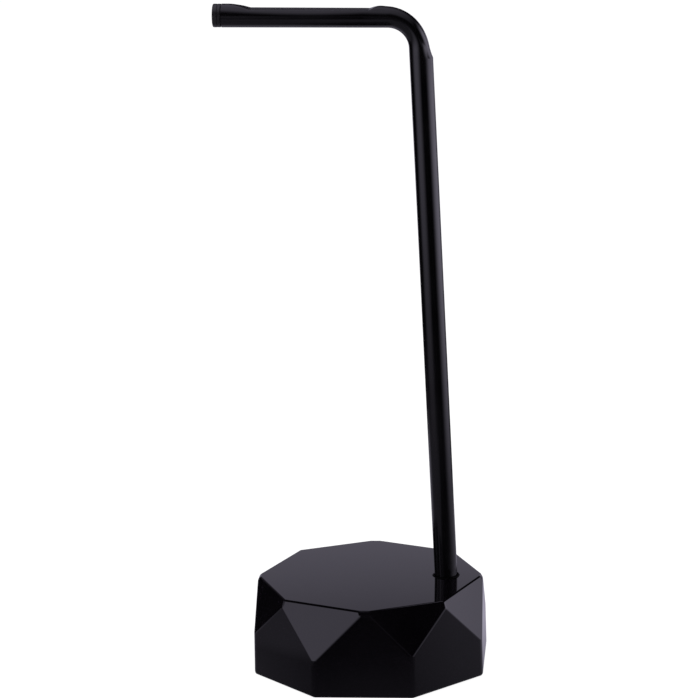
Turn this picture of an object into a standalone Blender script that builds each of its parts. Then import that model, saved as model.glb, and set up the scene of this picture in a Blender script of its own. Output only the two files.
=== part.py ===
"""Headphone stand: a faceted, ballasted base and one bent tube whose arm is pressed flat for the headband."""

import math

import bmesh
import bpy
from mathutils import Matrix, Vector

MM = 0.001

# Base shell, an octagonal prism with its eight upper corners cut away
BASE_ACROSS_FLATS = 100.0 * MM
BASE_HEIGHT = 38.9 * MM
SIDE_DRAFT = math.radians(0.7)
DEEP_CUT_DROP = 23.0 * MM
SHALLOW_CUT_DROP = 19.6 * MM
TOP_EDGE_ROUND = 1.3 * MM
FACET_EDGE_ROUND = 0.9 * MM
CORNER_EDGE_ROUND = 1.6 * MM
RIM_EDGE_ROUND = 1.2 * MM
SHELL_WALL = 3.0 * MM
SIDES = 8

# What closes and weighs down the base
PAD_THICKNESS = 2.0 * MM
PAD_PROUD = 0.6 * MM
PAD_MARGIN = 4.0 * MM
COVER_THICKNESS = 2.4 * MM
BALLAST_HEIGHT = 16.0 * MM
SEAT_GAP = 0.3 * MM
SLIDE_GAP = 0.25 * MM

# Posts and screws that hold the cover
POST_DIAMETER = 7.0 * MM
POST_SHOULDER_DIAMETER = 11.0 * MM
POST_WALL_DISTANCE = 17.0 * MM
POST_SPACING_X = 30.0 * MM
SCREW_DIAMETER = 2.9 * MM
SCREW_LENGTH = 11.0 * MM
SCREW_HEAD_DIAMETER = 5.6 * MM
SCREW_CROSS_WIDTH = 0.8 * MM
SCREW_CROSS_DEPTH = 0.9 * MM

# Pole: one tube with a leaning post, a tight bend and a nearly level arm
POLE_DIAMETER = 10.0 * MM
POLE_WALL = 1.0 * MM
POLE_EDGE_DISTANCE = 16.6 * MM
POLE_LEAN = math.radians(1.76)
POST_LENGTH = 233.4 * MM
BEND_RADIUS = 13.9 * MM
ARM_RISE = math.radians(0.74)
ARM_LENGTH = 70.0 * MM
SOCKET_DEPTH = 10.0 * MM

# Pressed saddle on the arm, and the outer wall that collapses in the bend
SADDLE_DEPTH = 2.0 * MM
SADDLE_START = 2.0 * MM
SADDLE_LEAD_IN = 9.7 * MM
SADDLE_FLAT_LENGTH = 50.7 * MM
SADDLE_TILT = math.radians(0.23)
SADDLE_RUN_OUT = 9.0 * MM
BEND_COLLAPSE = 1.8 * MM
BEND_COLLAPSE_LAG = 3.5 * MM
BEND_COLLAPSE_ARM_REACH = 24.0 * MM
BEND_COLLAPSE_POST_REACH = 11.6 * MM
BEND_SPREAD = 0.06

# Fastening of the pole and its trim
INSERT_LENGTH = 12.0 * MM
BOLT_DIAMETER = 5.0 * MM
BOLT_LENGTH = 14.0 * MM
BOLT_HEAD_DIAMETER = 9.5 * MM
BOLT_HEAD_HEIGHT = 2.7 * MM
BOLT_SOCKET_ACROSS_FLATS = 3.0 * MM
BOLT_SOCKET_DEPTH = 1.6 * MM
FLAT_WASHER_DIAMETER = 10.4 * MM
FLAT_WASHER_THICKNESS = 1.0 * MM
SPRING_WASHER_DIAMETER = 9.2 * MM
SPRING_WASHER_THICKNESS = 1.3 * MM
SPRING_WASHER_SPLIT = 1.0 * MM
ACCESS_HOLE_DIAMETER = 13.0 * MM
BUSH_WALL = 0.5 * MM
BUSH_PROUD = 0.4 * MM
BUSH_FLANGE_WIDTH = 2.2 * MM
BUSH_FLANGE_THICKNESS = 1.4 * MM

# End cap of the arm
CAP_HEAD_LENGTH = 4.1 * MM
CAP_DOME = 0.35 * MM
CAP_EDGE_ROUND = 0.5 * MM
CAP_RIDGE_WIDTH = 0.7 * MM
CAP_GROOVE_DEPTH = 0.2 * MM
CAP_RIBS = 2
CAP_RIB_HEIGHT = 0.12 * MM

# Levels above the table, and radii that follow from the sizes above
APOTHEM = BASE_ACROSS_FLATS / 2
HALF_SIDE_ANGLE = math.pi / SIDES
RIM_Z = PAD_PROUD
TOP_Z = RIM_Z + BASE_HEIGHT
TOP_APOTHEM = (APOTHEM - BASE_HEIGHT * math.tan(SIDE_DRAFT)) * math.cos(HALF_SIDE_ANGLE)
CEILING_Z = TOP_Z - SHELL_WALL
COVER_Z = PAD_THICKNESS + SEAT_GAP
COVER_TOP_Z = COVER_Z + COVER_THICKNESS
BALLAST_Z = COVER_TOP_Z + SEAT_GAP
BALLAST_TOP_Z = BALLAST_Z + BALLAST_HEIGHT
SOCKET_Z = BALLAST_TOP_Z - SOCKET_DEPTH
POLE_RADIUS = POLE_DIAMETER / 2
POLE_BORE_RADIUS = POLE_RADIUS - POLE_WALL
POLE_X = APOTHEM - POLE_EDGE_DISTANCE
BEND_ANGLE = math.pi / 2 - POLE_LEAN - ARM_RISE
WASHER_STACK = FLAT_WASHER_THICKNESS + SPRING_WASHER_THICKNESS + 3 * SEAT_GAP
POST_Y = APOTHEM - POST_WALL_DISTANCE
POST_PLACES = [(x * POST_SPACING_X / 2, y * POST_Y) for x in (-1, 1) for y in (-1, 1)]
CAP_SHANK_LENGTH = SADDLE_START + 0.15 * SADDLE_LEAD_IN
CUT_MARGIN = 5.0 * MM
MERGE_DISTANCE = 0.05 * MM
ROUND_STEPS = 24
SMALL_STEPS = 16
POLE_STEPS = 28
BEND_STATIONS = 14
RAMP_STATIONS = 6
BEVEL_SEGMENTS = 3


def new_collection(name):
    collection = bpy.data.collections.new(name)
    bpy.context.scene.collection.children.link(collection)
    return collection


def clear_scene():
    for obj in list(bpy.data.objects):
        bpy.data.objects.remove(obj, do_unlink=True)


clear_scene()
PARTS = new_collection("headphone_stand")
CUTTERS = new_collection("cutters")
CUTTERS.hide_render = True


def material(name, colour, roughness, metallic=0.0):
    made = bpy.data.materials.new(name)
    made.use_nodes = True
    shader = made.node_tree.nodes["Principled BSDF"]
    shader.inputs["Base Color"].default_value = (*colour, 1.0)
    shader.inputs["Roughness"].default_value = roughness
    shader.inputs["Metallic"].default_value = metallic
    return made


GLOSS_BLACK = material("gloss_black", (0.008, 0.007, 0.010), 0.06)
BLACK_PAINT = material("black_paint", (0.010, 0.010, 0.012), 0.22)
CAP_BLACK = material("cap_black", (0.015, 0.014, 0.016), 0.45)
BUSH_BLACK = material("bush_black", (0.006, 0.006, 0.006), 0.55)
COVER_BLACK = material("cover_black", (0.016, 0.016, 0.017), 0.50)
PAD_RUBBER = material("pad_rubber", (0.022, 0.022, 0.023), 0.80)
CAST_IRON = material("cast_iron", (0.090, 0.088, 0.086), 0.60, 0.8)
ZINC_STEEL = material("zinc_steel", (0.560, 0.570, 0.580), 0.30, 1.0)


def add_object(name, data, finish):
    obj = bpy.data.objects.new(name, data)
    if finish is None:
        CUTTERS.objects.link(obj)
        obj.hide_render = True
        obj.display_type = "WIRE"
    else:
        PARTS.objects.link(obj)
        data.materials.append(finish)
    return obj


def mesh_object(name, bm, finish):
    mesh = bpy.data.meshes.new(name)
    bm.to_mesh(mesh)
    bm.free()
    return add_object(name, mesh, finish)


def shade_round(obj, sharp_angle=math.radians(35)):
    obj.data.shade_smooth()
    obj.data.set_sharp_from_angle(angle=sharp_angle)


def turned(name, profile, finish, steps=ROUND_STEPS, ring=False):
    """Turns (radius, height) points about Z. A ring's profile closes on itself; any other one ends on the axis."""
    mesh = bpy.data.meshes.new(name)
    points = [(radius, 0.0, height) for radius, height in profile]
    edges = [(i, i + 1) for i in range(len(points) - 1)]
    if ring:
        edges.append((len(points) - 1, 0))
    mesh.from_pydata(points, edges, [])
    obj = add_object(name, mesh, finish)
    screw = obj.modifiers.new("turn", "SCREW")
    screw.steps = steps
    screw.render_steps = steps
    screw.use_merge_vertices = True
    screw.merge_threshold = 0.01 * MM
    screw.use_smooth_shade = False
    return obj


def cylinder(name, radius, z_low, z_high, finish=None, steps=ROUND_STEPS):
    profile = [(0.0, z_high), (radius, z_high), (radius, z_low), (0.0, z_low)]
    return turned(name, profile, finish, steps)


def box(name, size, finish=None):
    bm = bmesh.new()
    bmesh.ops.create_cube(bm, size=1.0)
    bmesh.ops.scale(bm, verts=bm.verts[:], vec=size)
    return mesh_object(name, bm, finish)


def boolean(obj, other, operation="DIFFERENCE"):
    modifier = obj.modifiers.new(f"{operation.lower()}_{other.name}", "BOOLEAN")
    modifier.operation = operation
    modifier.object = other
    modifier.solver = "EXACT"


def on_pole_axis(z):
    """The world point where the pole's axis crosses the level z."""
    return Vector((POLE_X - (z - TOP_Z) * math.tan(POLE_LEAN), 0.0, z))


# Every piece on the pole's axis hangs from this empty, which stands on the base's top face and leans with the post.
POLE_AXIS = bpy.data.objects.new("pole_axis", None)
PARTS.objects.link(POLE_AXIS)
POLE_AXIS.location = on_pole_axis(TOP_Z)
POLE_AXIS.rotation_euler = (0.0, -POLE_LEAN, 0.0)


def seat_on_axis(obj, z):
    """Puts the object's own origin on the leaning axis, at the level z."""
    obj.parent = POLE_AXIS
    obj.location = (0.0, 0.0, (z - TOP_Z) / math.cos(POLE_LEAN))


# The faceted form

def side_apothem(z, inset=0.0):
    """Distance from the base's axis to its side faces at the level z, moved inwards by the inset."""
    return APOTHEM - (z - RIM_Z) * math.tan(SIDE_DRAFT) - inset / math.cos(SIDE_DRAFT)


def cut_corner(bm, corner, inset):
    """Cuts one upper corner along its facet's plane, moved inwards by the inset."""
    angle = (2 * corner + 1) * HALF_SIDE_ANGLE
    drop = DEEP_CUT_DROP if corner % 2 else SHALLOW_CUT_DROP
    tip_radius = side_apothem(TOP_Z - drop) / math.cos(HALF_SIDE_ANGLE)
    outwards = Vector((math.cos(angle), math.sin(angle), 0.0))
    normal = (outwards * drop + Vector((0.0, 0.0, tip_radius - TOP_APOTHEM))).normalized()
    tip = outwards * tip_radius + Vector((0.0, 0.0, TOP_Z - drop))
    bmesh.ops.bisect_plane(
        bm,
        geom=bm.verts[:] + bm.edges[:] + bm.faces[:],
        plane_co=tip - normal * inset,
        plane_no=normal,
        clear_outer=True,
        dist=0.001 * MM,
    )
    rim = [edge for edge in bm.edges if edge.is_boundary]
    bmesh.ops.contextual_create(bm, geom=rim)


def octagon_prism(z_low, z_high, apothem_low, apothem_high):
    bm = bmesh.new()
    middle = Matrix.Translation((0.0, 0.0, (z_low + z_high) / 2))
    bmesh.ops.create_cone(
        bm,
        cap_ends=True,
        segments=SIDES,
        radius1=apothem_low / math.cos(HALF_SIDE_ANGLE),
        radius2=apothem_high / math.cos(HALF_SIDE_ANGLE),
        depth=z_high - z_low,
        matrix=middle @ Matrix.Rotation(HALF_SIDE_ANGLE, 4, "Z"),
    )
    return bm


def faceted_form(inset, z_low, z_high):
    """The base's outer form, moved inwards by the inset, between two levels."""
    bm = octagon_prism(z_low, z_high, side_apothem(z_low, inset), side_apothem(z_high, inset))
    for corner in range(SIDES):
        cut_corner(bm, corner, inset)
    bmesh.ops.remove_doubles(bm, verts=bm.verts[:], dist=MERGE_DISTANCE)
    bmesh.ops.recalc_face_normals(bm, faces=bm.faces[:])
    return bm


def edge_round(edge):
    """The rounding of one edge of the sharp shell, known by the levels and the run of its two ends."""
    low, high = sorted(edge.verts, key=lambda vert: vert.co.z)
    if low.co.z > TOP_Z - CUT_MARGIN:
        return TOP_EDGE_ROUND
    if high.co.z < RIM_Z + CUT_MARGIN:
        return RIM_EDGE_ROUND
    run = math.hypot(high.co.x - low.co.x, high.co.y - low.co.y)
    return CORNER_EDGE_ROUND if low.co.z < RIM_Z + CUT_MARGIN and run < CUT_MARGIN else FACET_EDGE_ROUND


def weigh_edges(bm):
    """Gives each edge of the shell its share of the largest rounding, which it returns."""
    largest = max(TOP_EDGE_ROUND, FACET_EDGE_ROUND, CORNER_EDGE_ROUND, RIM_EDGE_ROUND)
    weights = bm.edges.layers.float.new("bevel_weight_edge")
    for edge in bm.edges:
        edge[weights] = edge_round(edge) / largest
    return largest


def make_posts():
    """Four stepped posts: the shoulder stops above the ballast, and the slim end runs through it to the cover."""
    shoulder_z = BALLAST_TOP_Z + SEAT_GAP
    foot_z = COVER_TOP_Z + SEAT_GAP
    root_z = CEILING_Z + SHELL_WALL / 2
    profile = [
        (0.0, root_z),
        (POST_SHOULDER_DIAMETER / 2, root_z),
        (POST_SHOULDER_DIAMETER / 2, shoulder_z),
        (POST_DIAMETER / 2, shoulder_z),
        (POST_DIAMETER / 2, foot_z),
        (0.0, foot_z),
    ]
    for number, (x, y) in enumerate(POST_PLACES, 1):
        post = turned(f"post_{number}", profile, None, SMALL_STEPS)
        post.location = (x, y, 0.0)
        yield post


def make_base_shell():
    bm = faceted_form(0.0, RIM_Z, TOP_Z)
    largest_round = weigh_edges(bm)
    shell = mesh_object("base_shell", bm, GLOSS_BLACK)
    rounding = shell.modifiers.new("edge_rounding", "BEVEL")
    rounding.limit_method = "WEIGHT"
    rounding.width = largest_round
    rounding.segments = BEVEL_SEGMENTS
    cavity = mesh_object("shell_cavity", faceted_form(SHELL_WALL, RIM_Z - CUT_MARGIN, CEILING_Z), None)
    boolean(shell, cavity)
    for post in make_posts():
        boolean(shell, post, "UNION")
    pilot_top = COVER_TOP_Z + SCREW_LENGTH
    for number, (x, y) in enumerate(POST_PLACES, 1):
        pilot_radius = SCREW_DIAMETER / 2 + SLIDE_GAP
        pilot = cylinder(f"pilot_{number}", pilot_radius, COVER_Z, pilot_top, steps=SMALL_STEPS)
        pilot.location = (x, y, 0.0)
        boolean(shell, pilot)
    hole_radius = bush_radius() + SLIDE_GAP
    pole_hole = cylinder("pole_hole", hole_radius, CEILING_Z - CUT_MARGIN, TOP_Z + CUT_MARGIN)
    pole_hole.location.x = POLE_X
    boolean(shell, pole_hole)
    return shell


def make_ballast():
    """Cast block that fills the lower half of the shell and holds the foot of the pole."""
    bm = faceted_form(SHELL_WALL + SEAT_GAP, BALLAST_Z, BALLAST_TOP_Z)
    ballast = mesh_object("ballast_weight", bm, CAST_IRON)
    for number, (x, y) in enumerate(POST_PLACES, 1):
        radius = POST_DIAMETER / 2 + SLIDE_GAP
        clearance = cylinder(f"post_hole_{number}", radius, BALLAST_Z - CUT_MARGIN, BALLAST_TOP_Z + CUT_MARGIN)
        clearance.location = (x, y, 0.0)
        boolean(ballast, clearance)
    web = (SOCKET_Z - BALLAST_Z - WASHER_STACK) / math.cos(POLE_LEAN)
    socket_radius = POLE_RADIUS + SLIDE_GAP
    bolt_radius = BOLT_DIAMETER / 2 + SLIDE_GAP
    pocket_radius = max(FLAT_WASHER_DIAMETER, SPRING_WASHER_DIAMETER, BOLT_HEAD_DIAMETER) / 2 + SLIDE_GAP
    seat = [
        (0.0, SOCKET_DEPTH + CUT_MARGIN),
        (socket_radius, SOCKET_DEPTH + CUT_MARGIN),
        (socket_radius, 0.0),
        (bolt_radius, 0.0),
        (bolt_radius, -web),
        (pocket_radius, -web),
        (pocket_radius, -BALLAST_HEIGHT - CUT_MARGIN),
        (0.0, -BALLAST_HEIGHT - CUT_MARGIN),
    ]
    pole_seat = turned("pole_seat", seat, None)
    seat_on_axis(pole_seat, SOCKET_Z)
    boolean(ballast, pole_seat)
    return ballast


def floor_plate(name, z_low, thickness, margin, finish):
    """An octagonal plate that fits inside the shell's lower rim, smaller by the margin."""
    apothem = side_apothem(COVER_TOP_Z, SHELL_WALL) - SEAT_GAP - margin
    return mesh_object(name, octagon_prism(z_low, z_low + thickness, apothem, apothem), finish)


def cut_access_hole(plate, z_low, z_high):
    """The opening under the pole, for the key that tightens its bolt."""
    hole = cylinder(f"{plate.name}_access", ACCESS_HOLE_DIAMETER / 2, z_low - CUT_MARGIN, z_high + CUT_MARGIN)
    hole.location.x = on_pole_axis(BALLAST_Z).x
    boolean(plate, hole)


def screw_profile(growth=0.0, tail=SCREW_LENGTH):
    """A countersunk screw, head down at the cover's underside; the growth makes its clearance hole."""
    head = SCREW_HEAD_DIAMETER / 2 + growth
    shank = SCREW_DIAMETER / 2 + growth
    taper_top = COVER_Z + head - shank
    return [(0.0, COVER_Z + tail), (shank, COVER_Z + tail), (shank, taper_top), (head, COVER_Z), (0.0, COVER_Z)]


def make_cover():
    cover = floor_plate("base_cover", COVER_Z, COVER_THICKNESS, 0.0, COVER_BLACK)
    for number, (x, y) in enumerate(POST_PLACES, 1):
        profile = screw_profile(SLIDE_GAP, COVER_THICKNESS + CUT_MARGIN)
        deeper = [(radius, height - SLIDE_GAP / 2) for radius, height in profile]
        countersink = turned(f"countersink_{number}", deeper, None, SMALL_STEPS)
        countersink.location = (x, y, 0.0)
        boolean(cover, countersink)
    cut_access_hole(cover, COVER_Z, COVER_TOP_Z)
    return cover


def make_pad():
    pad = floor_plate("non_slip_pad", 0.0, PAD_THICKNESS, PAD_MARGIN, PAD_RUBBER)
    cut_access_hole(pad, 0.0, PAD_THICKNESS)
    return pad


def make_cover_screws():
    """Four countersunk screws, each with a cross recess."""
    arm = 0.6 * SCREW_HEAD_DIAMETER
    for number, (x, y) in enumerate(POST_PLACES, 1):
        screw = turned(f"cover_screw_{number}", screw_profile(), ZINC_STEEL, SMALL_STEPS)
        screw.location = (x, y, 0.0)
        for way, size in (("x", (arm, SCREW_CROSS_WIDTH)), ("y", (SCREW_CROSS_WIDTH, arm))):
            recess = box(f"cross_{way}_{number}", (*size, 2 * SCREW_CROSS_DEPTH))
            recess.location = (x, y, COVER_Z)
            boolean(screw, recess)


# The pole

def saddle_drop(from_end):
    """How far the top of the arm is pressed down, at a distance from the tube's open end."""
    flat_start = SADDLE_START + SADDLE_LEAD_IN
    flat_end = flat_start + SADDLE_FLAT_LENGTH
    if from_end <= SADDLE_START or from_end >= flat_end + SADDLE_RUN_OUT:
        return 0.0
    if from_end < flat_start:
        return SADDLE_DEPTH * ((from_end - SADDLE_START) / SADDLE_LEAD_IN) ** 1.8
    drop = SADDLE_DEPTH + (min(from_end, flat_end) - flat_start) * math.tan(SADDLE_TILT)
    if from_end <= flat_end:
        return drop
    return drop * (1 - (from_end - flat_end) / SADDLE_RUN_OUT) ** 1.8


def bend_drop(from_middle):
    """How far the outer wall is drawn in, at a distance towards the arm from the middle of the bend."""
    from_deepest = from_middle + BEND_COLLAPSE_LAG
    if from_deepest > 0:
        share = (from_deepest / BEND_COLLAPSE_ARM_REACH) ** 1.56
    else:
        share = (-from_deepest / BEND_COLLAPSE_POST_REACH) ** 2.5
    return BEND_COLLAPSE * max(1 - share, 0.0)


def ring_points(radius, saddle, collapse):
    """One section of the tube: sideways and outwards distances from its centreline."""
    points = []
    for step in range(POLE_STEPS):
        angle = 2 * math.pi * step / POLE_STEPS
        sideways = radius * math.cos(angle)
        outwards = radius * math.sin(angle)
        if outwards > 0.0:
            outwards -= collapse * outwards / radius
        sideways *= 1 + BEND_SPREAD * collapse / BEND_COLLAPSE
        points.append((sideways, min(outwards, radius - saddle)))
    return points


def post_stations(bottom):
    """Distances up the post, closer together where the collapsed wall begins."""
    ramp = BEND_COLLAPSE_POST_REACH + BEND_COLLAPSE_LAG - BEND_RADIUS * BEND_ANGLE / 2
    return [bottom, *(POST_LENGTH - ramp * (1 - i / RAMP_STATIONS) for i in range(RAMP_STATIONS))]


def arm_stations():
    """Distances from the open end, largest first, closer together on the saddle's two ramps."""
    flat_start = SADDLE_START + SADDLE_LEAD_IN
    flat_end = flat_start + SADDLE_FLAT_LENGTH
    inner = [ARM_LENGTH - (ARM_LENGTH - flat_end) * i / RAMP_STATIONS for i in range(1, RAMP_STATIONS + 1)]
    outer = [flat_start - SADDLE_LEAD_IN * i / RAMP_STATIONS for i in range(RAMP_STATIONS + 1)]
    return [*inner, *outer, 0.0]


def station(centre, outwards, from_arm_root):
    """One section's place and shape; the last distance runs along the centreline, towards the open end."""
    collapse = bend_drop(BEND_RADIUS * BEND_ANGLE / 2 + from_arm_root)
    return centre, outwards, saddle_drop(ARM_LENGTH - from_arm_root), collapse


def pole_stations(bottom):
    """All sections of the pole, in the leaning frame of its axis."""
    bend_length = BEND_RADIUS * BEND_ANGLE
    stations = []
    for height in post_stations(bottom):
        centre = Vector((0.0, 0.0, height))
        stations.append(station(centre, Vector((1.0, 0.0, 0.0)), height - POST_LENGTH - bend_length))
    for step in range(BEND_STATIONS + 1):
        angle = BEND_ANGLE * step / BEND_STATIONS
        outwards = Vector((math.cos(angle), 0.0, math.sin(angle)))
        stations.append(station(bend_point(angle), outwards, BEND_RADIUS * angle - bend_length))
    for from_end in arm_stations():
        run = ARM_LENGTH - from_end
        stations.append(station(bend_point(BEND_ANGLE) + arm_direction() * run, outwards, run))
    return stations


def bend_point(angle):
    """A point of the bend's centreline, in the leaning frame of the pole's axis."""
    return Vector((BEND_RADIUS * (math.cos(angle) - 1), 0.0, POST_LENGTH + BEND_RADIUS * math.sin(angle)))


def arm_direction():
    """The way the arm points, in the leaning frame of the pole's axis."""
    return Vector((-math.sin(BEND_ANGLE), 0.0, math.cos(BEND_ANGLE)))


def loft_ring(bm, section, radius):
    centre, outwards, saddle, collapse = section
    sideways = Vector((0.0, 1.0, 0.0))
    return [bm.verts.new(centre + sideways * s + outwards * o) for s, o in ring_points(radius, saddle, collapse)]


def bridge(bm, ring_a, ring_b):
    count = len(ring_a)
    for i in range(count):
        bm.faces.new((ring_a[i], ring_a[(i + 1) % count], ring_b[(i + 1) % count], ring_b[i]))


def make_pole():
    """A loft of unlike sections: round post, collapsed bend, flat-topped saddle and round end, with its bore."""
    bottom = (SOCKET_Z + SEAT_GAP - TOP_Z) / math.cos(POLE_LEAN)
    stations = pole_stations(bottom)
    bm = bmesh.new()
    outer = [loft_ring(bm, section, POLE_RADIUS) for section in stations]
    inner = [loft_ring(bm, section, POLE_BORE_RADIUS) for section in stations]
    for skin in (outer, inner):
        for ring_a, ring_b in zip(skin, skin[1:]):
            bridge(bm, ring_a, ring_b)
    bridge(bm, outer[0], inner[0])
    bridge(bm, outer[-1], inner[-1])
    bmesh.ops.recalc_face_normals(bm, faces=bm.faces[:])
    pole = mesh_object("pole", bm, BLACK_PAINT)
    pole.parent = POLE_AXIS
    shade_round(pole)
    return pole


def make_end_cap():
    """Plug of the arm: a shallow dome on a ridged head, and a ribbed shank inside the tube."""
    edge = POLE_RADIUS - CAP_EDGE_ROUND
    rise = CAP_HEAD_LENGTH - CAP_DOME - CAP_EDGE_ROUND
    profile = [(0.0, CAP_HEAD_LENGTH), (edge / 2, CAP_HEAD_LENGTH - CAP_DOME / 4)]
    for step in range(4):
        turn = math.pi / 2 * step / 3
        profile.append((edge + CAP_EDGE_ROUND * math.sin(turn), rise + CAP_EDGE_ROUND * math.cos(turn)))
    groove = POLE_RADIUS - CAP_GROOVE_DEPTH
    ridge_top = SEAT_GAP + 2 * CAP_RIDGE_WIDTH
    profile += [
        (POLE_RADIUS, ridge_top + CAP_GROOVE_DEPTH),
        (groove, ridge_top),
        (POLE_RADIUS, ridge_top - CAP_GROOVE_DEPTH),
        (POLE_RADIUS, SEAT_GAP + CAP_GROOVE_DEPTH),
        (groove, SEAT_GAP),
    ]
    shank = POLE_BORE_RADIUS - SLIDE_GAP
    pitch = CAP_SHANK_LENGTH / (CAP_RIBS + 1)
    profile.append((shank, SEAT_GAP))
    for rib in range(1, CAP_RIBS + 1):
        crest = SEAT_GAP - rib * pitch
        profile += [(shank, crest + pitch / 3), (shank + CAP_RIB_HEIGHT, crest), (shank, crest - pitch / 8)]
    tail = SEAT_GAP - CAP_SHANK_LENGTH
    profile += [(shank, tail + CAP_EDGE_ROUND), (shank - CAP_EDGE_ROUND, tail), (0.0, tail)]
    cap = turned("arm_end_cap", profile, CAP_BLACK)
    cap.parent = POLE_AXIS
    cap.location = bend_point(BEND_ANGLE) + arm_direction() * ARM_LENGTH
    cap.rotation_euler = (0.0, -BEND_ANGLE, 0.0)
    return cap


# Fastening of the pole

def flat_ring(name, outer_radius, bore_radius, thickness, finish):
    profile = [(bore_radius, thickness), (outer_radius, thickness), (outer_radius, 0.0), (bore_radius, 0.0)]
    return turned(name, profile, finish, ring=True)


def make_insert():
    """Threaded sleeve pressed into the foot of the tube."""
    outer = POLE_BORE_RADIUS - SLIDE_GAP
    insert = flat_ring("pole_insert", outer, BOLT_DIAMETER / 2 + SLIDE_GAP, INSERT_LENGTH, ZINC_STEEL)
    seat_on_axis(insert, SOCKET_Z + SEAT_GAP)
    return insert


def make_washers():
    bore = BOLT_DIAMETER / 2 + SLIDE_GAP
    ceiling = BALLAST_Z + WASHER_STACK
    flat = flat_ring("flat_washer", FLAT_WASHER_DIAMETER / 2, bore, FLAT_WASHER_THICKNESS, ZINC_STEEL)
    flat_z = ceiling - SEAT_GAP - FLAT_WASHER_THICKNESS
    seat_on_axis(flat, flat_z)
    spring = flat_ring("spring_washer", SPRING_WASHER_DIAMETER / 2, bore, SPRING_WASHER_THICKNESS, ZINC_STEEL)
    seat_on_axis(spring, flat_z - SEAT_GAP - SPRING_WASHER_THICKNESS)
    split = box("spring_washer_split", (SPRING_WASHER_DIAMETER, SPRING_WASHER_SPLIT, 4 * SPRING_WASHER_THICKNESS))
    seat_on_axis(split, flat_z - SEAT_GAP - SPRING_WASHER_THICKNESS / 2)
    split.location.x = SPRING_WASHER_DIAMETER / 2
    boolean(spring, split)
    return flat, spring


def make_bolt():
    """Domed bolt with a hexagon socket, head down."""
    head = BOLT_HEAD_DIAMETER / 2
    shank = BOLT_DIAMETER / 2
    key = BOLT_SOCKET_ACROSS_FLATS / 2 / math.cos(math.pi / 6)
    profile = [(0.0, BOLT_LENGTH), (shank * 0.8, BOLT_LENGTH), (shank, BOLT_LENGTH - shank * 0.2), (shank, 0.0)]
    for step in range(5):
        turn = math.pi / 2 * step / 4
        dome = key * 1.3 + (head - key * 1.3) * math.cos(turn)
        profile.append((dome, -BOLT_HEAD_HEIGHT * math.sin(turn)))
    profile.append((0.0, -BOLT_HEAD_HEIGHT))
    bolt = turned("pole_bolt", profile, ZINC_STEEL, SMALL_STEPS)
    bearing_z = BALLAST_Z
    seat_on_axis(bolt, bearing_z)
    bm = bmesh.new()
    bmesh.ops.create_cone(bm, cap_ends=True, segments=6, radius1=key, radius2=key, depth=2 * BOLT_SOCKET_DEPTH)
    bmesh.ops.translate(bm, verts=bm.verts[:], vec=(0.0, 0.0, -BOLT_HEAD_HEIGHT))
    socket = mesh_object("bolt_key_socket", bm, None)
    seat_on_axis(socket, bearing_z)
    boolean(bolt, socket)
    return bolt


def bush_radius():
    return POLE_RADIUS + SLIDE_GAP + BUSH_WALL


def make_bush():
    """Trim bush fitted from inside: its flange stops under the ceiling and its lip shows round the tube."""
    flange = bush_radius() + BUSH_FLANGE_WIDTH
    flange_top = CEILING_Z - SEAT_GAP
    profile = [
        (0.0, TOP_Z + BUSH_PROUD),
        (bush_radius(), TOP_Z + BUSH_PROUD),
        (bush_radius(), flange_top),
        (flange, flange_top),
        (flange, flange_top - BUSH_FLANGE_THICKNESS),
        (0.0, flange_top - BUSH_FLANGE_THICKNESS),
    ]
    bush = turned("pole_bush", profile, BUSH_BLACK)
    bush.location.x = POLE_X
    bore = cylinder("bush_bore", POLE_RADIUS + SLIDE_GAP, -BASE_HEIGHT, BASE_HEIGHT)
    seat_on_axis(bore, TOP_Z)
    boolean(bush, bore)
    return bush


def main():
    make_base_shell()
    make_ballast()
    make_cover()
    make_pad()
    make_cover_screws()
    make_pole()
    make_end_cap()
    make_insert()
    make_washers()
    make_bolt()
    make_bush()


main()
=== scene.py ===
import math

import bpy
from mathutils import Matrix, Vector


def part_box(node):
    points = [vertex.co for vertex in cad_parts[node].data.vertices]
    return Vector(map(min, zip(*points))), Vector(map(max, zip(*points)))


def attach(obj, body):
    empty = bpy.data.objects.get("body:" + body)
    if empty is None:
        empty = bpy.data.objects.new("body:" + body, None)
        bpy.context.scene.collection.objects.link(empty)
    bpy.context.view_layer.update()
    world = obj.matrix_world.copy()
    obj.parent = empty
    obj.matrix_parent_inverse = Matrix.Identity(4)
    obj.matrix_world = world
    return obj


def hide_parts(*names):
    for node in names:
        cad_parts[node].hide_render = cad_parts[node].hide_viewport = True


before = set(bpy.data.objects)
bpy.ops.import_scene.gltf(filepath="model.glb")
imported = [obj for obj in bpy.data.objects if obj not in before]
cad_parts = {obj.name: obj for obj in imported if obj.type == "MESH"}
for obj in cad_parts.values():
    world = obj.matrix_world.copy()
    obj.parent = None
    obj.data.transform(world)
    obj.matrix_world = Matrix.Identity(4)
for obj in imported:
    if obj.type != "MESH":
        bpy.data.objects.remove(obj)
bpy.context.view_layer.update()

mm = 0.001
mergeGap = 0.002 * mm
print("frame loaded:", len(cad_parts), "nodes")


# small helpers, used by every piece

def deselectAll():
    if bpy.context.object and bpy.context.object.mode != "OBJECT":
        bpy.ops.object.mode_set(mode="OBJECT")
    for obj in list(bpy.context.selected_objects):
        obj.select_set(False)


def pick(obj):
    deselectAll()
    obj.select_set(True)
    bpy.context.view_layer.objects.active = obj


def editMode(obj):
    pick(obj)
    bpy.ops.object.mode_set(mode="EDIT")
    bpy.ops.mesh.select_mode(type="VERT")
    bpy.ops.mesh.select_all(action="DESELECT")


def objectMode():
    bpy.ops.object.mode_set(mode="OBJECT")


def justAdded(name):
    obj = bpy.context.object
    obj.name = name
    obj.data.name = name
    return obj


def applyPlace(obj):
    pick(obj)
    bpy.ops.object.transform_apply(location=True, rotation=True, scale=True)


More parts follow.
